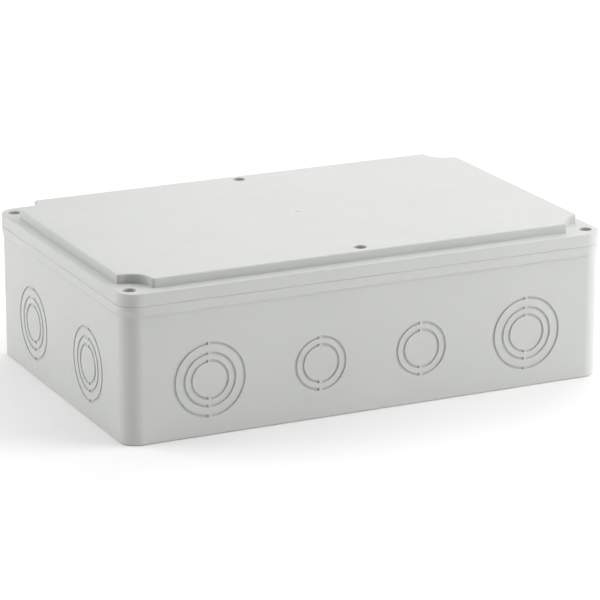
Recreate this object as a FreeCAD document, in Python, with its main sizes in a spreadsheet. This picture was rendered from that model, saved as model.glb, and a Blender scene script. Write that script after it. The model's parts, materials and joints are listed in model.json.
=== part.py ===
import FreeCAD, Part
import math
import os

import Sketcher
from FreeCAD import Rotation, Vector

# A moulded junction box for electrical wiring. A deep base with breakout cable entries in its four
# walls is closed by a lid with a raised platform, a foam seal and six captive screws.
# The frame: origin at the middle of the base's underside, +X along the long side, +Z up.

SIZES = {
    # outline of the lid's rim and of the collar under it
    "box_length": 386.0,
    "box_width": 251.0,
    "rim_corner": 14.5,
    # base
    "base_height": 102.0,
    "wall_inset_x": 1.2,
    "wall_inset_y": 1.5,
    "body_corner": 13.0,
    "wall_thickness": 3.0,
    "floor_thickness": 3.5,
    "collar_height": 6.6,
    "collar_taper": 1.6,
    "collar_band": 3.0,
    "collar_corner": 17.0,
    "foot_round": 1.0,
    "parting_round": 0.6,
    # seal: a tongue on the base presses into a groove in the lid
    "groove_inset": 1.6,
    "groove_width": 2.8,
    "groove_depth": 3.0,
    "tongue_inset": 2.4,
    "tongue_width": 1.2,
    "tongue_height": 1.5,
    "seal_gap": 0.1,
    # lid
    "rim_height": 9.5,
    "platform_height": 7.0,
    "platform_inset_x": 7.8,
    "platform_inset_y": 10.3,
    "notch_radius": 16.6,
    "notch_round": 2.0,
    "edge_round": 1.0,
    "skin": 3.0,
    "lip_gap": 0.4,
    "lip_width": 2.0,
    "lip_depth": 4.0,
    "gate_radius": 1.8,
    "gate_depth": 0.3,
    # lid screws, their bosses in the base and their sleeves in the lid
    "screw_inset_x": 10.1,
    "screw_inset_y": 13.0,
    "middle_inset_y": 20.0,
    "boss_radius": 6.2,
    "boss_clearance": 1.0,
    "rib_thickness": 3.0,
    "rib_drop": 8.0,
    "pilot_radius": 2.0,
    "pilot_depth": 24.0,
    "sleeve_radius": 6.5,
    "screw_hole_radius": 2.75,
    "recess_radius": 4.7,
    "recess_round": 0.5,
    "seat_height": 4.2,
    "washer_thickness": 1.0,
    "washer_radius": 4.3,
    "washer_bore": 2.0,
    "head_radius": 4.0,
    "head_height": 2.6,
    "head_round": 1.0,
    "shank_radius": 1.95,
    "shank_length": 26.0,
    "tip_length": 2.0,
    "drive_length": 4.6,
    "drive_width": 1.1,
    "drive_depth": 1.5,
    # floor: wall-fixing holes and standoffs for a mounting plate
    "fixing_spacing_x": 330.0,
    "fixing_spacing_y": 190.0,
    "fixing_radius": 2.75,
    "plate_spacing_x": 260.0,
    "plate_spacing_y": 150.0,
    "standoff_radius": 4.5,
    "standoff_height": 8.0,
    "plate_pilot_radius": 1.6,
    "plate_pilot_depth": 7.0,
    # cable entries: rings that break out one by one, divided by narrow grooves
    "entry_height": 41.5,
    "large_entry": 27.0,
    "medium_entry": 19.6,
    "small_entry": 14.0,
    "entry_groove": 2.0,
    "entry_depth": 1.0,
    "entry_round": 0.12,
    "bridge_width": 2.0,
    "bridge_drop": 0.15,
    "bridge_gap": 0.05,
    "outer_entry_x": 127.5,
    "inner_entry_x": 40.5,
    "side_entry_y": 54.0,
}

# sizes that several pieces share, as expressions over the sheet
RIM_X = "sizes.box_length / 2"
RIM_Y = "sizes.box_width / 2"
BODY_X = "(sizes.box_length / 2 - sizes.wall_inset_x)"
BODY_Y = "(sizes.box_width / 2 - sizes.wall_inset_y)"
SCREW_X = "(sizes.box_length / 2 - sizes.screw_inset_x)"
SCREW_Y = "(sizes.box_width / 2 - sizes.screw_inset_y)"
MIDDLE_Y = "(sizes.box_width / 2 - sizes.middle_inset_y)"
LID_HEIGHT = "(sizes.rim_height + sizes.platform_height)"
CORNERS = [(1, 1), (-1, 1), (-1, -1), (1, -1)]

doc = FreeCAD.newDocument("junction_box")
sheet = doc.addObject("Spreadsheet::Sheet", "sizes")
for row, (alias, value) in enumerate(SIZES.items(), start=1):
    sheet.set(f"A{row}", alias)
    sheet.set(f"B{row}", str(value))
    sheet.setAlias(f"B{row}", alias)
doc.recompute()


def number(expression):
    """What an expression over the sheet comes to."""
    return float(sheet.evalExpression(expression))


def signed(sign, expression):
    """An expression with a sign in front, or plain zero."""
    return "0" if sign == 0 else f"{sign} * {expression}"


# ---------------------------------------------------------------- sketches

def new_body(label):
    body = doc.addObject("PartDesign::Body", label)
    body.Label = label
    return body


def origin_plane(body, role):
    return next(f for f in body.Origin.OriginFeatures if f.Role == role)


def sketch_on(body, name, level="0", plane="XY_Plane"):
    """A sketch parallel to one of the body's own origin planes, at a level above it."""
    sketch = body.newObject("Sketcher::SketchObject", name)
    sketch.AttachmentSupport = [(origin_plane(body, plane), "")]
    sketch.MapMode = "FlatFace"
    sketch.setExpression("AttachmentOffset.Base.z", level)
    return sketch


def bind(sketch, kind, references, expression):
    """A dimension whose value is an expression."""
    index = sketch.addConstraint(Sketcher.Constraint(kind, *references, number(expression)))
    sketch.setExpression(f"Constraints[{index}]", expression)


def bind_point(sketch, geometry, point, x, y):
    bind(sketch, "DistanceX", (-1, 1, geometry, point), x)
    bind(sketch, "DistanceY", (-1, 1, geometry, point), y)


def circle(sketch, x, y, radius):
    centre = Vector(number(x), number(y), 0)
    index = sketch.addGeometry(Part.Circle(centre, Vector(0, 0, 1), number(radius)))
    bind(sketch, "Radius", (index,), radius)
    bind_point(sketch, index, 3, x, y)


def closed_path(sketch, points, expressions):
    """Straight lines through the points; expressions gives each point's x and y."""
    first = sketch.GeometryCount
    count = len(points)
    for k, point in enumerate(points):
        sketch.addGeometry(Part.LineSegment(Vector(*point, 0), Vector(*points[(k + 1) % count], 0)))
    for k, (x, y) in enumerate(expressions):
        sketch.addConstraint(Sketcher.Constraint("Coincident", first + k, 2, first + (k + 1) % count, 1))
        bind_point(sketch, first + k, 1, x, y)


def polygon(sketch, expressions):
    points = [(number(x), number(y)) for x, y in expressions]
    closed_path(sketch, points, expressions)


def rectangle(sketch, x_low, x_high, y_low, y_high):
    polygon(sketch, [(x_high, y_high), (x_low, y_high), (x_low, y_low), (x_high, y_low)])


def bind_sides(sketch, sides, half_x, half_y):
    """Sides in the order top, left, bottom, right: level or upright, at their distances."""
    top, left, bottom, right = sides
    for side in (top, bottom):
        sketch.addConstraint(Sketcher.Constraint("Horizontal", side))
    for side in (left, right):
        sketch.addConstraint(Sketcher.Constraint("Vertical", side))
    bind(sketch, "DistanceY", (-1, 1, top, 1), half_y)
    bind(sketch, "DistanceX", (left, 1, -1, 1), half_x)
    bind(sketch, "DistanceY", (bottom, 1, -1, 1), half_y)
    bind(sketch, "DistanceX", (-1, 1, right, 1), half_x)


def rounded_rectangle(sketch, half_x, half_y, radius):
    """A rectangle about the origin with round corners; the three sizes are expressions."""
    x, y, r = number(half_x), number(half_y), number(radius)
    first = sketch.GeometryCount
    ends = [(x, y - r), (x - r, y), (r - x, y), (-x, y - r)]
    ends += [(-x, r - y), (r - x, -y), (x - r, -y), (x, r - y)]
    for k in range(4):
        start, stop = ends[2 * k + 1], ends[(2 * k + 2) % 8]
        sketch.addGeometry(Part.LineSegment(Vector(*start, 0), Vector(*stop, 0)))
        sx, sy = CORNERS[(k + 1) % 4]
        corner = Part.Circle(Vector(sx * (x - r), sy * (y - r), 0), Vector(0, 0, 1), r)
        start_angle = math.pi / 2 * (k + 1)
        sketch.addGeometry(Part.ArcOfCircle(corner, start_angle, start_angle + math.pi / 2))
    for k in range(8):
        references = (first + k, 2, first + (k + 1) % 8, 1)
        sketch.addConstraint(Sketcher.Constraint("Tangent", *references))
    for k in (3, 5, 7):
        sketch.addConstraint(Sketcher.Constraint("Equal", first + 1, first + k))
    bind(sketch, "Radius", (first + 1,), radius)
    bind_sides(sketch, [first, first + 2, first + 4, first + 6], half_x, half_y)


def bitten_rectangle(sketch, half_x, half_y, centre_x, centre_y, radius):
    """A rectangle about the origin whose corners are cut away by circles about (±centre_x, ±centre_y)."""
    x, y, r = number(half_x), number(half_y), number(radius)
    cx, cy = number(centre_x), number(centre_y)
    side_y = cy - math.sqrt(r * r - (x - cx) ** 2)
    side_x = cx - math.sqrt(r * r - (y - cy) ** 2)
    ends = [(side_x, y), (-side_x, y), (-x, side_y), (-x, -side_y)]
    ends += [(-side_x, -y), (side_x, -y), (x, -side_y), (x, side_y)]
    first = sketch.GeometryCount
    for k in range(4):
        start, stop = ends[2 * k], ends[2 * k + 1]
        sketch.addGeometry(Part.LineSegment(Vector(*start, 0), Vector(*stop, 0)))
    for k in range(4):
        sx, sy = CORNERS[(k + 1) % 4]
        start, stop = ends[(2 * k + 2) % 8], ends[2 * k + 1]
        angles = [math.atan2(py - sy * cy, px - sx * cx) for px, py in (start, stop)]
        bite = Part.Circle(Vector(sx * cx, sy * cy, 0), Vector(0, 0, 1), r)
        arc = sketch.addGeometry(Part.ArcOfCircle(bite, angles[0], angles[1]))
        sketch.addConstraint(Sketcher.Constraint("Coincident", arc, 1, first + (k + 1) % 4, 1))
        sketch.addConstraint(Sketcher.Constraint("Coincident", arc, 2, first + k, 2))
        bind(sketch, "Radius", (arc,), radius)
        bind_point(sketch, arc, 3, signed(sx, centre_x), signed(sy, centre_y))
    bind_sides(sketch, [first, first + 1, first + 2, first + 3], half_x, half_y)


def corner_places():
    return [(signed(sx, SCREW_X), signed(sy, SCREW_Y)) for sx, sy in CORNERS]


def middle_places():
    return [("0", MIDDLE_Y), ("0", signed(-1, MIDDLE_Y))]


def screw_places():
    """Centres of the six lid screws: the four corner ones, then the two middle ones."""
    return corner_places() + middle_places()


# ---------------------------------------------------------------- features

volumes = {}


def finish_feature(body, feature, adds):
    """Recomputes, and stops if the feature didn't change the volume the way it should."""
    before = volumes.get(body.Name, 0.0)
    body.Tip = feature
    doc.recompute()
    if feature.Shape.isNull() or (feature.Shape.Volume > before) != adds:
        raise RuntimeError(f"{body.Label}: {feature.Name} didn't {'add' if adds else 'remove'} material")
    volumes[body.Name] = feature.Shape.Volume
    return feature


def pad(body, name, sketch, length, reverse=False):
    feature = body.newObject("PartDesign::Pad", name)
    feature.Profile = sketch
    feature.setExpression("Length", length)
    feature.Reversed = reverse
    return finish_feature(body, feature, adds=True)


def pocket(body, name, sketch, depth, reverse=False):
    """Cuts down from the sketch, or up from it when reversed."""
    feature = body.newObject("PartDesign::Pocket", name)
    feature.Profile = sketch
    feature.setExpression("Length", depth)
    feature.Reversed = reverse
    return finish_feature(body, feature, adds=False)


def loft(body, name, lower, upper):
    feature = body.newObject("PartDesign::AdditiveLoft", name)
    feature.Profile = lower
    feature.Sections = [upper]
    feature.Ruled = True
    return finish_feature(body, feature, adds=True)


def mirror(body, name, original, plane, adds):
    feature = body.newObject("PartDesign::Mirrored", name)
    feature.Originals = [original]
    feature.MirrorPlane = (origin_plane(body, plane), [""])
    return finish_feature(body, feature, adds)


def fillet(body, name, radius, wanted, adds):
    """Rounds the edges of the body that the test picks."""
    base = body.Tip
    names = [f"Edge{k}" for k, edge in enumerate(base.Shape.Edges, start=1) if wanted(edge)]
    feature = body.newObject("PartDesign::Fillet", name)
    feature.Base = (base, names)
    feature.setExpression("Radius", radius)
    return finish_feature(body, feature, adds)


def level_edge(height):
    """A test for edges that lie flat at a height."""
    return lambda edge: all(abs(z - height) < 1e-4 for z in (edge.BoundBox.ZMin, edge.BoundBox.ZMax))


def hole_edge(height, radius):
    """A test for the round edges of holes of a radius that open at a height."""
    at_height = level_edge(height)
    return lambda edge: at_height(edge) and abs(getattr(edge.Curve, "Radius", 0.0) - radius) < 1e-4


def upright_edge(low, high):
    """A test for straight edges that run from one height to the other."""
    def test(edge):
        box = edge.BoundBox
        narrow = box.XLength < 1e-4 and box.YLength < 1e-4
        return narrow and abs(box.ZMin - low) < 1e-4 and abs(box.ZMax - high) < 1e-4
    return test


# ---------------------------------------------------------------- base

def base_shell(body):
    """Walls, the collar that carries the lid, and the tongue that presses into the seal."""
    outline = sketch_on(body, "base_outline")
    rounded_rectangle(outline, BODY_X, BODY_Y, "sizes.body_corner")
    pad(body, "walls", outline, "sizes.base_height")
    fillet(body, "foot_edge", "sizes.foot_round", level_edge(0), adds=False)

    # the collar stands proud of the walls: a short taper, then a stage whose corners open out from
    # the body's wide rounds to the rim's tighter ones, then an even band
    foot = "(sizes.base_height - sizes.collar_height)"
    band_foot = "(sizes.base_height - sizes.collar_band)"
    stages = [("taper", BODY_X, BODY_Y, "sizes.body_corner", f"{foot} - sizes.collar_taper"),
              ("flare", RIM_X, RIM_Y, "sizes.collar_corner", foot),
              ("band", RIM_X, RIM_Y, "sizes.rim_corner", band_foot)]
    for low, high in zip(stages, stages[1:]):
        sections = []
        for end, (name, half_x, half_y, corner, level) in (("foot", low), ("top", high)):
            section = sketch_on(body, f"{low[0]}_{end}", level)
            rounded_rectangle(section, half_x, half_y, corner)
            sections.append(section)
        loft(body, low[0], *sections)
    band = sketch_on(body, "band_outline", band_foot)
    rounded_rectangle(band, RIM_X, RIM_Y, "sizes.rim_corner")
    pad(body, "band", band, "sizes.collar_band")
    fillet(body, "collar_edge", "sizes.parting_round", level_edge(number("sizes.base_height")), adds=False)

    cavity = sketch_on(body, "cavity_outline", "sizes.base_height")
    rounded_rectangle(cavity, f"{BODY_X} - sizes.wall_thickness", f"{BODY_Y} - sizes.wall_thickness",
                      "sizes.body_corner - sizes.wall_thickness")
    pocket(body, "cavity", cavity, "sizes.base_height - sizes.floor_thickness")
    tongue = sketch_on(body, "tongue_outline", "sizes.base_height")
    ring(tongue, "sizes.tongue_inset", "sizes.tongue_width")
    pad(body, "tongue", tongue, "sizes.tongue_height")


def ring(sketch, inset, width):
    """A band of even width inside the rim's outline."""
    for depth in (inset, f"({inset} + {width})"):
        rounded_rectangle(sketch, f"{RIM_X} - {depth}", f"{RIM_Y} - {depth}", f"sizes.rim_corner - {depth}")


def base_bosses(body):
    """Six columns for the lid screws, ribs that brace the middle two, and standoffs on the floor."""
    columns = sketch_on(body, "boss_outlines", "sizes.floor_thickness / 2")
    for x, y in screw_places():
        circle(columns, x, y, "sizes.boss_radius")
    pad(body, "bosses", columns, "sizes.base_height - sizes.floor_thickness / 2")
    ribs = sketch_on(body, "rib_outlines", "sizes.floor_thickness / 2")
    wall_middle = f"({BODY_Y} - sizes.wall_thickness / 2)"
    for side in (1, -1):
        rectangle(ribs, "-sizes.rib_thickness / 2", "sizes.rib_thickness / 2",
                  signed(side, MIDDLE_Y), signed(side, wall_middle))
    pad(body, "ribs", ribs, "sizes.base_height - sizes.rib_drop - sizes.floor_thickness / 2")
    standoffs = sketch_on(body, "standoff_outlines", "sizes.floor_thickness / 2")
    for sx, sy in CORNERS:
        circle(standoffs, signed(sx, "sizes.plate_spacing_x / 2"), signed(sy, "sizes.plate_spacing_y / 2"),
               "sizes.standoff_radius")
    pad(body, "standoffs", standoffs, "sizes.standoff_height + sizes.floor_thickness / 2")


def base_holes(body):
    """Pilot holes for the lid screws and the plate screws, and the holes that fix the box to a wall."""
    pilots = sketch_on(body, "pilot_outlines", "sizes.base_height")
    for x, y in screw_places():
        circle(pilots, x, y, "sizes.pilot_radius")
    pocket(body, "pilots", pilots, "sizes.pilot_depth")
    plate = sketch_on(body, "plate_pilot_outlines", "sizes.floor_thickness + sizes.standoff_height")
    fixings = sketch_on(body, "fixing_outlines", "sizes.floor_thickness")
    for sx, sy in CORNERS:
        circle(plate, signed(sx, "sizes.plate_spacing_x / 2"), signed(sy, "sizes.plate_spacing_y / 2"),
               "sizes.plate_pilot_radius")
        circle(fixings, signed(sx, "sizes.fixing_spacing_x / 2"), signed(sy, "sizes.fixing_spacing_y / 2"),
               "sizes.fixing_radius")
    pocket(body, "plate_pilots", plate, "sizes.plate_pilot_depth")
    pocket(body, "fixings", fixings, "sizes.floor_thickness")


def base_entries(body):
    """Round recesses for the breakout rings: a thin web of wall is left behind them."""
    front = sketch_on(body, "front_entries", BODY_Y, "XZ_Plane")
    for sign in (1, -1):
        circle(front, signed(sign, "sizes.outer_entry_x"), "sizes.entry_height",
               "sizes.large_entry + sizes.entry_groove / 2")
        circle(front, signed(sign, "sizes.inner_entry_x"), "sizes.entry_height",
               "sizes.medium_entry + sizes.entry_groove / 2")
    cut = pocket(body, "front_recesses", front, "sizes.entry_depth")
    mirror(body, "back_recesses", cut, "XZ_Plane", adds=False)
    side = sketch_on(body, "side_entries", BODY_X, "YZ_Plane")
    for sign in (1, -1):
        circle(side, signed(sign, "sizes.side_entry_y"), "sizes.entry_height",
               "sizes.large_entry + sizes.entry_groove / 2")
    cut = pocket(body, "right_recesses", side, "sizes.entry_depth")
    mirror(body, "left_recesses", cut, "YZ_Plane", adds=False)
    fillet(body, "entry_mouths", "sizes.entry_round", entry_mouth, adds=False)


def entry_mouth(edge):
    """A test for the round edges where the entries open in the walls' outer faces."""
    radii = [number(f"sizes.{size} + sizes.entry_groove / 2") for size in ("large_entry", "medium_entry")]
    round_edge = any(abs(getattr(edge.Curve, "Radius", 0.0) - radius) < 1e-4 for radius in radii)
    box = edge.BoundBox
    in_x = max(abs(abs(x) - number(BODY_X)) for x in (box.XMin, box.XMax)) < 1e-4
    in_y = max(abs(abs(y) - number(BODY_Y)) for y in (box.YMin, box.YMax)) < 1e-4
    return round_edge and ((box.XLength < 1e-4 and in_x) or (box.YLength < 1e-4 and in_y))


def make_base():
    body = new_body("base_box")
    base_shell(body)
    base_bosses(body)
    base_holes(body)
    base_entries(body)
    return body


# ---------------------------------------------------------------- lid

def make_lid():
    """The lid's own zero height is the parting plane, where it rests on the base."""
    body = new_body("lid")
    body.setExpression("Placement.Base.z", "sizes.base_height")
    platform_x = f"({RIM_X} - sizes.platform_inset_x)"
    platform_y = f"({RIM_Y} - sizes.platform_inset_y)"
    rim_height = number("sizes.rim_height")
    lid_height = number(LID_HEIGHT)

    rim = sketch_on(body, "rim_outline")
    rounded_rectangle(rim, RIM_X, RIM_Y, "sizes.rim_corner")
    pad(body, "rim", rim, "sizes.rim_height")
    fillet(body, "rim_edge", "sizes.edge_round", level_edge(rim_height), adds=False)
    fillet(body, "parting_edge", "sizes.parting_round", level_edge(0), adds=False)
    platform = sketch_on(body, "platform_outline", "sizes.rim_height")
    bitten_rectangle(platform, platform_x, platform_y, SCREW_X, SCREW_Y, "sizes.notch_radius")
    pad(body, "platform", platform, "sizes.platform_height")
    fillet(body, "notch_edges", "sizes.notch_round", upright_edge(rim_height, lid_height), adds=False)
    fillet(body, "platform_edge", "sizes.edge_round", level_edge(lid_height), adds=False)

    lid_hollow(body, platform_x, platform_y)
    lid_screw_holes(body)
    gate = sketch_on(body, "gate_outline", LID_HEIGHT)
    circle(gate, "0", "0", "sizes.gate_radius")
    pocket(body, "gate_mark", gate, "sizes.gate_depth")
    return body


def lid_hollow(body, platform_x, platform_y):
    """The underside: hollow under the rim and the platform, with a locating lip and the seal's groove."""
    outer = "(sizes.wall_thickness + sizes.lip_gap)"
    inner = f"({outer} + sizes.lip_width)"
    low = sketch_on(body, "low_hollow_outline")
    rounded_rectangle(low, f"{BODY_X} - {inner}", f"{BODY_Y} - {inner}", f"sizes.body_corner - {inner}")
    pocket(body, "low_hollow", low, "sizes.rim_height - sizes.skin", reverse=True)
    high = sketch_on(body, "high_hollow_outline")
    bitten_rectangle(high, f"{platform_x} - sizes.skin", f"{platform_y} - sizes.skin",
                     SCREW_X, SCREW_Y, "sizes.notch_radius + sizes.skin")
    pocket(body, "high_hollow", high, f"{LID_HEIGHT} - sizes.skin", reverse=True)

    lip = sketch_on(body, "lip_outline")
    for inset in (outer, inner):
        rounded_rectangle(lip, f"{BODY_X} - {inset}", f"{BODY_Y} - {inset}", f"sizes.body_corner - {inset}")
    pad(body, "lip", lip, "sizes.lip_depth", reverse=True)
    gaps = sketch_on(body, "lip_gap_outlines")
    for x, y in corner_places():
        circle(gaps, x, y, "sizes.boss_radius + sizes.boss_clearance")
    pocket(body, "lip_gaps", gaps, "sizes.lip_depth")

    sleeves = sketch_on(body, "sleeve_outlines")
    for x, y in screw_places():
        circle(sleeves, x, y, "sizes.sleeve_radius")
    pad(body, "sleeves", sleeves, "sizes.rim_height - sizes.skin / 2")
    tall = sketch_on(body, "tall_sleeve_outlines")
    for x, y in middle_places():
        circle(tall, x, y, "sizes.sleeve_radius")
    pad(body, "tall_sleeves", tall, f"{LID_HEIGHT} - sizes.skin / 2")
    groove = sketch_on(body, "groove_outline")
    ring(groove, "sizes.groove_inset", "sizes.groove_width")
    pocket(body, "groove", groove, "sizes.groove_depth", reverse=True)


def lid_screw_holes(body):
    """Clearance holes, and recesses that sink the heads to one level in the rim and the platform."""
    holes = sketch_on(body, "screw_hole_outlines")
    for x, y in screw_places():
        circle(holes, x, y, "sizes.screw_hole_radius")
    pocket(body, "screw_holes", holes, "sizes.seat_height", reverse=True)
    recesses = sketch_on(body, "recess_outlines", LID_HEIGHT)
    for x, y in screw_places():
        circle(recesses, x, y, "sizes.recess_radius")
    pocket(body, "recesses", recesses, f"{LID_HEIGHT} - sizes.seat_height")
    recess_radius = number("sizes.recess_radius")
    for name, height in (("corner_mouths", "sizes.rim_height"), ("middle_mouths", LID_HEIGHT)):
        fillet(body, name, "sizes.recess_round", hole_edge(number(height), recess_radius), adds=False)


def make_gasket():
    """A foam ring in the lid's groove, between the groove's top and the base's tongue."""
    body = new_body("gasket")
    body.setExpression("Placement.Base.z", "sizes.base_height")
    outline = sketch_on(body, "gasket_outline", "sizes.tongue_height")
    ring(outline, "(sizes.groove_inset + sizes.seal_gap)", "(sizes.groove_width - 2 * sizes.seal_gap)")
    pad(body, "gasket_ring", outline, "sizes.groove_depth - sizes.tongue_height")
    return body


# ---------------------------------------------------------------- screws

def place(body, x, y, z):
    for axis, expression in zip("xyz", (x, y, z)):
        body.setExpression(f"Placement.Base.{axis}", expression)


def make_washer(label, x, y):
    """A sealing washer under a screw's head."""
    body = new_body(label)
    outline = sketch_on(body, f"{label}_outline")
    circle(outline, "0", "0", "sizes.washer_radius")
    circle(outline, "0", "0", "sizes.washer_bore")
    pad(body, f"{label}_ring", outline, "sizes.washer_thickness")
    place(body, x, y, "sizes.base_height + sizes.seat_height")
    return body


def make_screw(label, x, y):
    """A pan-head screw; its own zero height is the underside of the head."""
    body = new_body(label)
    shank = sketch_on(body, f"{label}_profile", plane="XZ_Plane")
    polygon(shank, [
        ("0", "sizes.head_height"),
        ("0", "-sizes.shank_length"),
        ("sizes.shank_radius / 4", "-sizes.shank_length"),
        ("sizes.shank_radius", "sizes.tip_length - sizes.shank_length"),
        ("sizes.shank_radius", "0"),
        ("sizes.head_radius", "0"),
        ("sizes.head_radius", "sizes.head_height"),
    ])
    turned = body.newObject("PartDesign::Revolution", f"{label}_turned")
    turned.Profile = shank
    turned.ReferenceAxis = (shank, ["V_Axis"])
    finish_feature(body, turned, adds=True)
    fillet(body, f"{label}_crown", "sizes.head_round", level_edge(number("sizes.head_height")), adds=False)
    arms = [("drive_length", "drive_width"), ("drive_width", "drive_length")]
    for turn, (size_x, size_y) in enumerate(arms):
        slot = sketch_on(body, f"{label}_slot_{turn}", "sizes.head_height")
        rectangle(slot, f"-sizes.{size_x} / 2", f"sizes.{size_x} / 2",
                  f"-sizes.{size_y} / 2", f"sizes.{size_y} / 2")
        pocket(body, f"{label}_drive_{turn}", slot, "sizes.drive_depth")
    place(body, x, y, "sizes.base_height + sizes.seat_height + sizes.washer_thickness")
    return body


# ---------------------------------------------------------------- breakout rings

def make_entry(label, grooves, along, distance, yaw):
    """The rings of one cable entry, held together by two bridges across each groove.

    grooves lists the grooves' radii from the outside in. The piece is drawn lying down, with its
    outer face up, and then stood in the wall that faces the yaw angle.
    """
    body = new_body(label)
    reach = f"({grooves[0]} + sizes.entry_groove / 2 - sizes.bridge_gap)"
    bar = sketch_on(body, f"{label}_bar_outline")
    rectangle(bar, "-sizes.bridge_width / 2", "sizes.bridge_width / 2", f"-{reach}", reach)
    pad(body, f"{label}_bar", bar, "sizes.entry_depth - sizes.bridge_drop")
    rings = sketch_on(body, f"{label}_ring_outlines")
    for k, groove in enumerate(grooves):
        circle(rings, "0", "0", f"{groove} - sizes.entry_groove / 2")
        if k > 0:
            circle(rings, "0", "0", f"{groove} + sizes.entry_groove / 2")
    pad(body, f"{label}_rings", rings, "sizes.entry_depth")
    face_edges = level_edge(number("sizes.entry_depth"))
    fillet(body, f"{label}_ring_edges", "sizes.entry_round", face_edges, adds=False)

    turn = Rotation(Vector(0, 0, 1), yaw)
    body.Placement = FreeCAD.Placement(Vector(), turn.multiply(Rotation(Vector(1, 0, 0), 90)))
    right = turn.multVec(Vector(1, 0, 0))
    outward = turn.multVec(Vector(0, -1, 0))
    web = f"({distance} - sizes.entry_depth)"
    x, y = [f"{round(right[k])} * {along} + {round(outward[k])} * {web}" for k in (0, 1)]
    place(body, x, y, "sizes.entry_height")
    return body


def make_entries():
    triple = ["sizes.large_entry", "sizes.medium_entry", "sizes.small_entry"]
    double = triple[1:]
    long_wall = [(triple, "(-1 * sizes.outer_entry_x)"), (double, "(-1 * sizes.inner_entry_x)"),
                 (double, "sizes.inner_entry_x"), (triple, "sizes.outer_entry_x")]
    short_wall = [(triple, "(-1 * sizes.side_entry_y)"), (triple, "sizes.side_entry_y")]
    walls = [("front", long_wall, BODY_Y, 0), ("right", short_wall, BODY_X, 90),
             ("back", long_wall, BODY_Y, 180), ("left", short_wall, BODY_X, -90)]
    return [make_entry(f"knockout_{wall}_{k}", grooves, along, distance, yaw)
            for wall, row, distance, yaw in walls
            for k, (grooves, along) in enumerate(row, start=1)]


# ---------------------------------------------------------------- all pieces

def check_document():
    doc.recompute()
    for item in doc.Objects:
        if {"Invalid", "Error"} & set(item.State):
            raise RuntimeError(f"{item.Name}: {item.State}")


def export(pieces):
    os.makedirs("parts", exist_ok=True)
    for piece in pieces:
        shape = piece.Shape
        if shape.isNull() or not shape.isValid() or len(shape.Solids) != 1:
            raise RuntimeError(f"{piece.Label}: not one valid solid")
    for piece in pieces:
        piece.Shape.exportStep(f"parts/{piece.Label}.step")
        print(f"{piece.Label}: {piece.Shape.Volume / 1000:.2f} cm3")


pieces = [make_base(), make_lid(), make_gasket()]
for index, (x, y) in enumerate(screw_places(), start=1):
    pieces.append(make_screw(f"lid_screw_{index}", x, y))
    pieces.append(make_washer(f"screw_washer_{index}", x, y))
pieces += make_entries()
check_document()
export(pieces)
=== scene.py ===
import json
import math

import bmesh
import bpy
from mathutils import Matrix, Vector


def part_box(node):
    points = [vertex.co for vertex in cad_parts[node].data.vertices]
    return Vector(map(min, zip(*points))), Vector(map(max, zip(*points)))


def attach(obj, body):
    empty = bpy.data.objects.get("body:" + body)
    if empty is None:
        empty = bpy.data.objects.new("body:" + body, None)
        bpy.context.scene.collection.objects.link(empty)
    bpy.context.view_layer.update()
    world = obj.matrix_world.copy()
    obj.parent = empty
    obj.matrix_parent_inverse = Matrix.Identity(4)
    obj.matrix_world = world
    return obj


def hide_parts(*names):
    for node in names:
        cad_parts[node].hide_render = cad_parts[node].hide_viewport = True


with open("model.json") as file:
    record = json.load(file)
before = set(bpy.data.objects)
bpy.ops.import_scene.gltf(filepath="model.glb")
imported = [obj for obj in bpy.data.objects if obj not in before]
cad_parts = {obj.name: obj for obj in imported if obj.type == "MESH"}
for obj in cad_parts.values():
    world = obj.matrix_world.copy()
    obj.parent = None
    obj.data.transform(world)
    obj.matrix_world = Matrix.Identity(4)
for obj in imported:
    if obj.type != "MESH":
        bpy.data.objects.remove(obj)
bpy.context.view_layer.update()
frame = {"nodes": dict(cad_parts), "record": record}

# The frame's units are metres. MM turns the millimetres used below into them.
MM = 0.001

nodes = frame["nodes"]
bodies = frame["record"]["behaviour"]["bodies"]
slots = {part["node"]: part["material_slot"] for part in frame["record"]["subparts"]}


# ---------------------------------------------------------------- camera, light and floor

CAMERA_AZIMUTH = 25.45
CAMERA_ELEVATION = 16.92
CAMERA_DISTANCE = 2.444
CAMERA_LENS = 195.7
SENSOR_WIDTH = 36.0
CAMERA_TARGET = Vector((-4.4, -13.9, 53.9)) * MM
CLIP_END = 100.0

# name: azimuth and elevation in degrees, distance and side of the square in metres, power in watts
SOFTBOXES = {
    "left_box": (122, 22, 1.8, 1.4, 17.0),
    "right_box": (-62, 22, 1.8, 1.4, 27.5),
    "back_box": (-140, 35, 1.8, 1.6, 12.0),
    "sky_box": (0, 90, 4.0, 8.0, 200.0),
}
LIGHT_TARGET = Vector((0, 0, 50)) * MM
WORLD_STRENGTH = 0.04
FLOOR_HALF_WIDTH = 15.0
FLOOR_GAP = 0.2 * MM
FLOOR_COLOUR = (0.96, 0.96, 0.96, 1)
FLOOR_ROUGHNESS = 0.9


def towards(azimuth, elevation):
    """The direction from the object to a point in front of it, to its left by the azimuth."""
    a, e = math.radians(azimuth), math.radians(elevation)
    return Vector((-math.sin(a) * math.cos(e), -math.cos(a) * math.cos(e), math.sin(e)))


def link(name, data):
    thing = bpy.data.objects.new(name, data)
    bpy.context.scene.collection.objects.link(thing)
    return thing


def aim(thing, azimuth, elevation, distance, target):
    direction = towards(azimuth, elevation)
    thing.location = target + direction * distance
    thing.rotation_euler = (-direction).to_track_quat("-Z", "Y").to_euler()


def add_camera():
    data = bpy.data.cameras.new("camera")
    data.lens = CAMERA_LENS
    data.sensor_width = SENSOR_WIDTH
    data.clip_end = CLIP_END
    camera = link("camera", data)
    aim(camera, CAMERA_AZIMUTH, CAMERA_ELEVATION, CAMERA_DISTANCE, CAMERA_TARGET)
    bpy.context.scene.camera = camera


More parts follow.
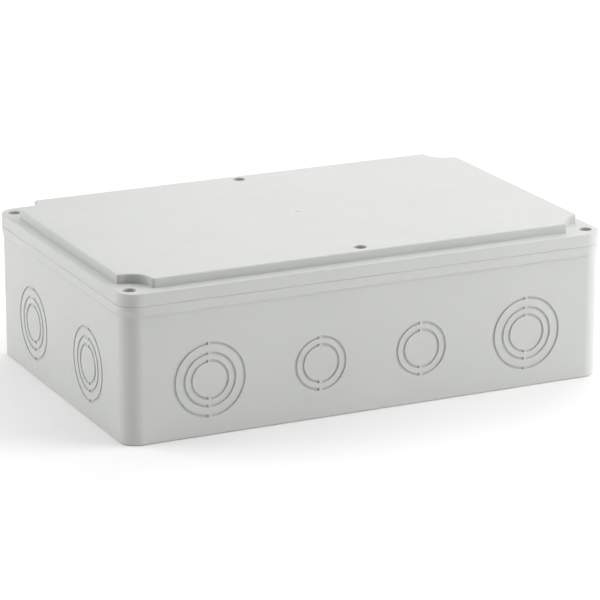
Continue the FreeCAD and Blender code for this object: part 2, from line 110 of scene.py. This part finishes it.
def add_lights():
    for name, (azimuth, elevation, distance, side, power) in SOFTBOXES.items():
        data = bpy.data.lights.new(name, "AREA")
        data.shape = "SQUARE"
        data.size = side
        data.energy = power
        aim(link(name, data), azimuth, elevation, distance, LIGHT_TARGET)
    world = bpy.data.worlds.new("studio")
    world.use_nodes = True
    background = world.node_tree.nodes["Background"]
    background.inputs["Color"].default_value = (1, 1, 1, 1)
    background.inputs["Strength"].default_value = WORLD_STRENGTH
    bpy.context.scene.world = world


def add_floor():
    mesh = bpy.data.meshes.new("floor")
    w = FLOOR_HALF_WIDTH
    mesh.from_pydata([(-w, -w, 0), (w, -w, 0), (w, w, 0), (-w, w, 0)], [], [(0, 1, 2, 3)])
    floor = link("floor", mesh)
    floor.location.z = -FLOOR_GAP
    material, _, shader = new_material("floor")
    shader.inputs["Base Color"].default_value = FLOOR_COLOUR
    shader.inputs["Roughness"].default_value = FLOOR_ROUGHNESS
    mesh.materials.append(material)


# ---------------------------------------------------------------- shader parts

BEVEL_SAMPLES = 8


def new_material(name):
    material = bpy.data.materials.new(name)
    material.use_nodes = True
    tree = material.node_tree
    return material, tree, tree.nodes["Principled BSDF"]


def coordinates(tree, stretch=(1, 1, 1)):
    """Places in the piece's own space, stretched along its axes."""
    source = tree.nodes.new("ShaderNodeTexCoord")
    mapping = tree.nodes.new("ShaderNodeMapping")
    mapping.inputs["Scale"].default_value = stretch
    tree.links.new(source.outputs["Object"], mapping.inputs["Vector"])
    return mapping.outputs["Vector"]


def noise(tree, scale, detail=2.0, roughness=0.5, stretch=(1, 1, 1)):
    """Noise fixed to the piece; the scale is in cells per metre."""
    texture = tree.nodes.new("ShaderNodeTexNoise")
    texture.inputs["Scale"].default_value = scale
    texture.inputs["Detail"].default_value = detail
    texture.inputs["Roughness"].default_value = roughness
    tree.links.new(coordinates(tree, stretch), texture.inputs["Vector"])
    return texture.outputs["Fac"]


def cells(tree, scale):
    """Distance from the middle of the nearest cell; the scale is in cells per metre."""
    texture = tree.nodes.new("ShaderNodeTexVoronoi")
    texture.inputs["Scale"].default_value = scale
    tree.links.new(coordinates(tree), texture.inputs["Vector"])
    return texture.outputs["Distance"]


def spread(tree, source, low, high, start=0.3, end=0.7):
    """Turns a value that runs from start to end into one that runs from low to high."""
    node = tree.nodes.new("ShaderNodeMapRange")
    node.inputs["From Min"].default_value = start
    node.inputs["From Max"].default_value = end
    node.inputs["To Min"].default_value = low
    node.inputs["To Max"].default_value = high
    tree.links.new(source, node.inputs["Value"])
    return node.outputs["Result"]


def mix(tree, factor, low, high):
    node = tree.nodes.new("ShaderNodeMix")
    node.data_type = "RGBA"
    node.inputs["A"].default_value = (*low, 1)
    node.inputs["B"].default_value = (*high, 1)
    tree.links.new(factor, node.inputs["Factor"])
    return node.outputs["Result"]


def shaded(colour, change):
    """The colour made lighter or darker by a part of itself."""
    return [min(1.0, max(0.0, c * (1 + change))) for c in colour]


def soft_edges(tree, radius):
    """The normal of a surface whose sharp edges are rounded by a radius."""
    node = tree.nodes.new("ShaderNodeBevel")
    node.samples = BEVEL_SAMPLES
    node.inputs["Radius"].default_value = radius
    return node.outputs["Normal"]


def bump(tree, normal, height, distance, strength):
    node = tree.nodes.new("ShaderNodeBump")
    node.inputs["Distance"].default_value = distance
    node.inputs["Strength"].default_value = strength
    tree.links.new(height, node.inputs["Height"])
    tree.links.new(normal, node.inputs["Normal"])
    return node.outputs["Normal"]


# ---------------------------------------------------------------- materials

# noise and cell sizes are in cells per metre, shades are parts of the colour, depths are in metres
HOUSING = (0.600, 0.611, 0.587)
HOUSING_GLOSS = 0.46
HOUSING_GRAIN = 2600
PLASTIC_CLOUDS = 14
PLASTIC_CLOUD_SHADE = 0.012
PLASTIC_SHEEN = 120
PLASTIC_SHEEN_SPREAD = 0.06
PLASTIC_WAVES = 30
PLASTIC_WAVE_DEPTH = 0.3 * MM
PLASTIC_GRAIN_DEPTH = 0.03 * MM
PLASTIC_BUMP = 0.3
PLASTIC_EDGE = 0.35 * MM
PLASTIC_IOR = 1.5
PLASTIC_SPECULAR = 0.4

STEEL = (0.56, 0.57, 0.57)
STEEL_CLOUDS = 700
STEEL_SHADES = (-0.22, 0.10)
STEEL_SHEEN = 1500
STEEL_ROUGHNESS = (0.24, 0.44)
STEEL_SCRATCHES = 3000
STEEL_SCRATCH_STRETCH = (1, 0.06, 1)
STEEL_SCRATCH_DEPTH = 0.02 * MM
STEEL_BUMP = 0.25
STEEL_EDGE = 0.12 * MM

RUBBER = (0.085, 0.086, 0.088)
RUBBER_BLOOM = 500
RUBBER_BLOOM_RANGE = (0.4, 0.75)
RUBBER_BLOOM_SHADE = 0.6
RUBBER_SHEEN = 900
RUBBER_ROUGHNESS = (0.55, 0.75)
RUBBER_GRAIN = 5000
RUBBER_GRAIN_DEPTH = 0.02 * MM
RUBBER_BUMP = 0.3
RUBBER_EDGE = 0.1 * MM

FOAM = (0.075, 0.078, 0.082)
FOAM_CELLS = 3200
FOAM_CELL_RANGE = (0.1, 0.6)
# painted shade and light: how much darker the foam is painted at the bottom of its pits, and how much
# lighter on the cell rims
FOAM_PAINTED_PIT_SHADING = (-0.35, 0.45)
FOAM_ROUGHNESS = 0.85
FOAM_WAVES = 160
FOAM_WAVE_DEPTH = 0.4 * MM
FOAM_WAVE_BUMP = 0.35
FOAM_CELL_DEPTH = 0.12 * MM
FOAM_CELL_BUMP = 0.6
FOAM_EDGE = 0.2 * MM


def moulded_plastic(name, colour, gloss, grain):
    """Spark-eroded moulded plastic: fine grain, slow waves and faint flow clouds."""
    material, tree, shader = new_material(name)
    clouds = spread(tree, noise(tree, PLASTIC_CLOUDS, detail=3.0), 0.0, 1.0)
    darker, lighter = shaded(colour, -PLASTIC_CLOUD_SHADE), shaded(colour, PLASTIC_CLOUD_SHADE)
    tree.links.new(mix(tree, clouds, darker, lighter), shader.inputs["Base Color"])
    sheen = spread(tree, noise(tree, PLASTIC_SHEEN, detail=4.0),
                   gloss - PLASTIC_SHEEN_SPREAD, gloss + PLASTIC_SHEEN_SPREAD)
    tree.links.new(sheen, shader.inputs["Roughness"])
    normal = soft_edges(tree, PLASTIC_EDGE)
    waves = noise(tree, PLASTIC_WAVES, detail=1.0)
    normal = bump(tree, normal, waves, PLASTIC_WAVE_DEPTH, PLASTIC_BUMP)
    fine = noise(tree, grain, detail=2.0, roughness=0.6)
    normal = bump(tree, normal, fine, PLASTIC_GRAIN_DEPTH, PLASTIC_BUMP)
    tree.links.new(normal, shader.inputs["Normal"])
    shader.inputs["IOR"].default_value = PLASTIC_IOR
    shader.inputs["Specular IOR Level"].default_value = PLASTIC_SPECULAR
    return material


def zinc_plated_steel(name):
    """Bright zinc over turned steel: cloudy plating, fine scratches and a trace of tarnish."""
    material, tree, shader = new_material(name)
    clouds = spread(tree, noise(tree, STEEL_CLOUDS, detail=4.0), 0.0, 1.0)
    darker, lighter = (shaded(STEEL, shade) for shade in STEEL_SHADES)
    tree.links.new(mix(tree, clouds, darker, lighter), shader.inputs["Base Color"])
    shader.inputs["Metallic"].default_value = 1.0
    sheen = spread(tree, noise(tree, STEEL_SHEEN, detail=3.0), *STEEL_ROUGHNESS)
    tree.links.new(sheen, shader.inputs["Roughness"])
    normal = soft_edges(tree, STEEL_EDGE)
    scratches = noise(tree, STEEL_SCRATCHES, detail=2.0, stretch=STEEL_SCRATCH_STRETCH)
    normal = bump(tree, normal, scratches, STEEL_SCRATCH_DEPTH, STEEL_BUMP)
    tree.links.new(normal, shader.inputs["Normal"])
    return material


def sealing_rubber(name):
    """Soft dark rubber with a bloom that dulls it in patches."""
    material, tree, shader = new_material(name)
    bloom = spread(tree, noise(tree, RUBBER_BLOOM, detail=4.0), 0.0, 1.0, *RUBBER_BLOOM_RANGE)
    tree.links.new(mix(tree, bloom, RUBBER, shaded(RUBBER, RUBBER_BLOOM_SHADE)),
                   shader.inputs["Base Color"])
    sheen = spread(tree, noise(tree, RUBBER_SHEEN), *RUBBER_ROUGHNESS)
    tree.links.new(sheen, shader.inputs["Roughness"])
    normal = soft_edges(tree, RUBBER_EDGE)
    normal = bump(tree, normal, noise(tree, RUBBER_GRAIN), RUBBER_GRAIN_DEPTH, RUBBER_BUMP)
    tree.links.new(normal, shader.inputs["Normal"])
    return material


def foam(name):
    """Closed-cell foam: a skin pitted by cells of a third of a millimetre, with painted shade in the pits
    and painted light on the cell rims.
    """
    material, tree, shader = new_material(name)
    pits = cells(tree, FOAM_CELLS)
    # painted shade: the colour is darkest where the bump below sinks the pits, and lightest on the rims
    # between them
    shade = spread(tree, pits, 0.0, 1.0, *FOAM_CELL_RANGE)
    darker, lighter = (shaded(FOAM, change) for change in FOAM_PAINTED_PIT_SHADING)
    tree.links.new(mix(tree, shade, darker, lighter), shader.inputs["Base Color"])
    shader.inputs["Roughness"].default_value = FOAM_ROUGHNESS
    normal = soft_edges(tree, FOAM_EDGE)
    waves = noise(tree, FOAM_WAVES, detail=2.0)
    normal = bump(tree, normal, waves, FOAM_WAVE_DEPTH, FOAM_WAVE_BUMP)
    normal = bump(tree, normal, pits, FOAM_CELL_DEPTH, FOAM_CELL_BUMP)
    tree.links.new(normal, shader.inputs["Normal"])
    return material


housing = moulded_plastic("housing_plastic", HOUSING, HOUSING_GLOSS, HOUSING_GRAIN)
steel = zinc_plated_steel("zinc_plated_steel")
rubber = sealing_rubber("sealing_rubber")
seal_foam = foam("seal_foam")


# ---------------------------------------------------------------- meshes

def make_piece(name, mesh_data, material):
    mesh = bpy.data.meshes.new(name)
    mesh_data.normal_update()
    mesh_data.to_mesh(mesh)
    mesh_data.free()
    mesh.materials.append(material)
    return link(name, mesh)


def stand_for(piece, node):
    """The piece replaces a CAD node and rides on its body."""
    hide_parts(node)
    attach(piece, next(body for body, members in bodies.items() if node in members))


def join_rows(mesh_data, rows, closed):
    """Quads between rows of equal numbers of points; each row is a closed loop."""
    vertices = [[mesh_data.verts.new(point) for point in row] for row in rows]
    pairs = list(zip(vertices, vertices[1:] + vertices[:1] if closed else vertices[1:]))
    for lower, upper in pairs:
        count = len(lower)
        for k in range(count):
            following = (k + 1) % count
            mesh_data.faces.new((lower[k], lower[following], upper[following], upper[k]))
    return vertices


def smooth_faces(piece, angle):
    """Smooth shading that keeps edges sharper than the angle."""
    for polygon in piece.data.polygons:
        polygon.use_smooth = True
    mesh_data = bmesh.new()
    mesh_data.from_mesh(piece.data)
    for edge in mesh_data.edges:
        edge.smooth = len(edge.link_faces) == 2 and edge.calc_face_angle(0.0) < math.radians(angle)
    mesh_data.to_mesh(piece.data)
    mesh_data.free()


# ---------------------------------------------------------------- screws

# a thread-forming screw, in millimetres; heights are from the underside of the head
SCREW_SIDES = 40
THREAD_PITCH = 2.0
RINGS_PER_TURN = 20
CORE_RADIUS = 1.35
THREAD_RADIUS = 1.95
THREAD_TOP = -5.0
THREAD_FADE = 1.5
TIP_TAPER = 3.0
POINT_RADIUS = 0.3
NECK_RADIUS = 1.75
RIDGE_WIDTH = 0.42
HEAD_PROFILE = [(1.75, 0.0), (3.55, 0.0), (3.86, 0.1), (4.0, 0.35), (4.0, 1.15), (3.93, 1.6),
                (3.7, 1.98), (3.3, 2.27), (2.7, 2.46), (1.8, 2.56), (0.9, 2.6)]
CROSS_REACH = 2.35
CROSS_WIDTH = 0.95
CROSS_DEPTH = 1.7
CROSS_TAPER = 0.45
CROSS_FLARE = 1.12
CROSS_LEAD = 0.5
SCREW_SMOOTH_ANGLE = 35
# how far round each screw was left when it was driven home
SCREW_TURNS = [12, 55, 31, 78, 20, 64]


def thread_radius(angle, height, tip):
    """The shank's radius: a narrow ridge winds round a core that tapers to the tip."""
    phase = (height / THREAD_PITCH - angle / math.tau) % 1.0
    ridge = max(0.0, 1.0 - abs(phase - 0.5) / (RIDGE_WIDTH / 2))
    ridge *= min(1.0, max(0.0, (THREAD_TOP - height) / THREAD_FADE))
    core = CORE_RADIUS + (NECK_RADIUS - CORE_RADIUS) * min(1.0, max(0.0, height - THREAD_TOP))
    point = min(1.0, (height - tip) / TIP_TAPER)
    full = core + (THREAD_RADIUS - CORE_RADIUS) * ridge
    return POINT_RADIUS + (full - POINT_RADIUS) * math.sin(point * math.pi / 2)


def screw_rows(tip):
    """Rings of points from the tip up over the head."""
    angles = [math.tau * k / SCREW_SIDES for k in range(SCREW_SIDES)]
    count = round(-tip / THREAD_PITCH * RINGS_PER_TURN)
    rows = []
    for step in range(count):
        height = tip + step * THREAD_PITCH / RINGS_PER_TURN
        rings = [(thread_radius(a, height, tip), a) for a in angles]
        rows.append([(r * math.cos(a) * MM, r * math.sin(a) * MM, height * MM) for r, a in rings])
    for r, height in HEAD_PROFILE:
        rows.append([(r * math.cos(a) * MM, r * math.sin(a) * MM, height * MM) for a in angles])
    return rows


def cross_cutter(head_top):
    """A tapered cross whose arms run down to a blunt point."""
    mesh_data = bmesh.new()
    reach, half = CROSS_REACH, CROSS_WIDTH / 2
    outline = [(reach, -half), (reach, half), (half, half)]
    points = []
    for quarter in range(4):
        turn = Matrix.Rotation(quarter * math.pi / 2, 3, "Z")
        points += [turn @ Vector((x, y, 0)) for x, y in outline]
    levels = [(CROSS_FLARE, head_top + CROSS_LEAD), (1.0, head_top), (CROSS_TAPER, head_top - CROSS_DEPTH)]
    rows = [[(p.x * size * MM, p.y * size * MM, height * MM) for p in points] for size, height in levels]
    vertices = join_rows(mesh_data, rows, closed=False)
    for ring in (vertices[0], vertices[-1]):
        mesh_data.faces.new(ring)
    bmesh.ops.recalc_face_normals(mesh_data, faces=mesh_data.faces)
    return make_piece("cross_cutter", mesh_data, steel)


def cut_away(piece, cutter):
    modifier = piece.modifiers.new("cut", "BOOLEAN")
    modifier.operation = "DIFFERENCE"
    modifier.solver = "EXACT"
    modifier.object = cutter
    depsgraph = bpy.context.evaluated_depsgraph_get()
    result = bpy.data.meshes.new_from_object(piece.evaluated_get(depsgraph))
    piece.modifiers.remove(modifier)
    piece.data = result
    bpy.data.objects.remove(cutter)


def make_screws():
    for index, turn in enumerate(SCREW_TURNS, start=1):
        node = f"lid_screw_{index}"
        low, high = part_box(node)
        head_top = HEAD_PROFILE[-1][1]
        mesh_data = bmesh.new()
        tip = (low.z - high.z) / MM + head_top
        vertices = join_rows(mesh_data, screw_rows(tip), closed=False)
        for ring in (vertices[0], vertices[-1]):
            mesh_data.faces.new(ring)
        bmesh.ops.recalc_face_normals(mesh_data, faces=mesh_data.faces)
        piece = make_piece(f"threaded_screw_{index}", mesh_data, steel)
        cut_away(piece, cross_cutter(head_top))
        place = Matrix.Translation(((low.x + high.x) / 2, (low.y + high.y) / 2, high.z - head_top * MM))
        piece.data.transform(place @ Matrix.Rotation(math.radians(turn), 4, "Z"))
        smooth_faces(piece, SCREW_SMOOTH_ANGLE)
        stand_for(piece, node)


# ---------------------------------------------------------------- washers

WASHER_SIDES = 64
WASHER_BORE_RADIUS = 2.0
WASHER_ROUND = 0.25
WASHER_CHAMFER = 0.07
WASHER_HOLLOW = 0.12
WASHER_LAND = 2.5 * WASHER_ROUND
WASHER_SMOOTH_ANGLE = 50


def make_washers():
    """Sealing rings with rounded rims and a shallow hollow on top where the head presses."""
    for index in range(1, len(SCREW_TURNS) + 1):
        node = f"screw_washer_{index}"
        low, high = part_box(node)
        centre = (low + high) / 2
        outer = (high.x - low.x) / 2 / MM
        thick = (high.z - low.z) / MM
        inner = WASHER_BORE_RADIUS
        r, chamfer = WASHER_ROUND, WASHER_CHAMFER
        hollow = thick - WASHER_HOLLOW
        profile = [(inner, r), (inner + r, 0), (outer - r, 0), (outer - chamfer, chamfer), (outer, r),
                   (outer, thick - r), (outer - chamfer, thick - chamfer), (outer - r, thick),
                   (outer - WASHER_LAND, hollow), (inner + r, hollow), (inner, thick - 2 * r)]
        angles = [math.tau * k / WASHER_SIDES for k in range(WASHER_SIDES)]
        rows = [[(radius * math.cos(a) * MM + centre.x, radius * math.sin(a) * MM + centre.y,
                  height * MM + low.z) for a in angles] for radius, height in profile]
        mesh_data = bmesh.new()
        join_rows(mesh_data, rows, closed=True)
        bmesh.ops.recalc_face_normals(mesh_data, faces=mesh_data.faces)
        piece = make_piece(f"sealing_washer_{index}", mesh_data, rubber)
        smooth_faces(piece, WASHER_SMOOTH_ANGLE)
        stand_for(piece, node)


# ---------------------------------------------------------------- gasket

RING_CORNER = 12.8
CORNER_STEPS = 20
STRAIGHT_STEP = 4.0
GASKET_SMOOTH_ANGLE = 60
# the foam's section: distance in from its outer edge, height from its underside
GASKET_SECTION = [(0.0, 0.15), (0.12, -0.12), (0.4, -0.24), (0.66, -0.1), (0.7, 0.0), (1.9, 0.0),
                  (1.94, -0.1), (2.2, -0.24), (2.48, -0.12), (2.6, 0.15), (2.6, 1.25), (2.52, 1.42),
                  (2.35, 1.5), (0.25, 1.5), (0.08, 1.42), (0.0, 1.25)]


def ring_stations(half_x, half_y, corner):
    """Points of a rounded rectangle with the outward direction at each."""
    stations = []
    for quarter in range(4):
        sx, sy = ((1, 1), (-1, 1), (-1, -1), (1, -1))[quarter]
        centre = Vector((sx * (half_x - corner), sy * (half_y - corner), 0))
        for step in range(CORNER_STEPS + 1):
            a = math.pi / 2 * (quarter + step / CORNER_STEPS)
            outward = Vector((math.cos(a), math.sin(a), 0))
            stations.append((centre + outward * corner, outward))
        span = 2 * ((half_x if quarter % 2 == 0 else half_y) - corner)
        count = round(span / (STRAIGHT_STEP * MM))
        along = Vector((-outward.y, outward.x, 0))
        start = stations[-1][0]
        stations += [(start + along * span * k / count, outward) for k in range(1, count)]
    return stations


def make_gasket():
    """A poured foam ring; the base's tongue has pressed a channel into its underside."""
    low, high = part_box("gasket")
    rows = []
    for point, outward in ring_stations(high.x, high.y, RING_CORNER * MM):
        rows.append([(point.x - outward.x * inset * MM, point.y - outward.y * inset * MM,
                      low.z + height * MM) for inset, height in GASKET_SECTION])
    mesh_data = bmesh.new()
    join_rows(mesh_data, rows, closed=True)
    bmesh.ops.recalc_face_normals(mesh_data, faces=mesh_data.faces)
    piece = make_piece("foam_gasket", mesh_data, seal_foam)
    smooth_faces(piece, GASKET_SMOOTH_ANGLE)
    stand_for(piece, "gasket")


# ---------------------------------------------------------------- the object

def finish_housing():
    """The CAD shapes of the box, the lid and the breakout rings take the moulded plastic."""
    for name, node in nodes.items():
        if slots[name] == "housing":
            node.data.materials.clear()
            node.data.materials.append(housing)


add_camera()
add_lights()
add_floor()
finish_housing()
make_screws()
make_washers()
make_gasket()
bpy.context.scene.view_settings.view_transform = "Standard"
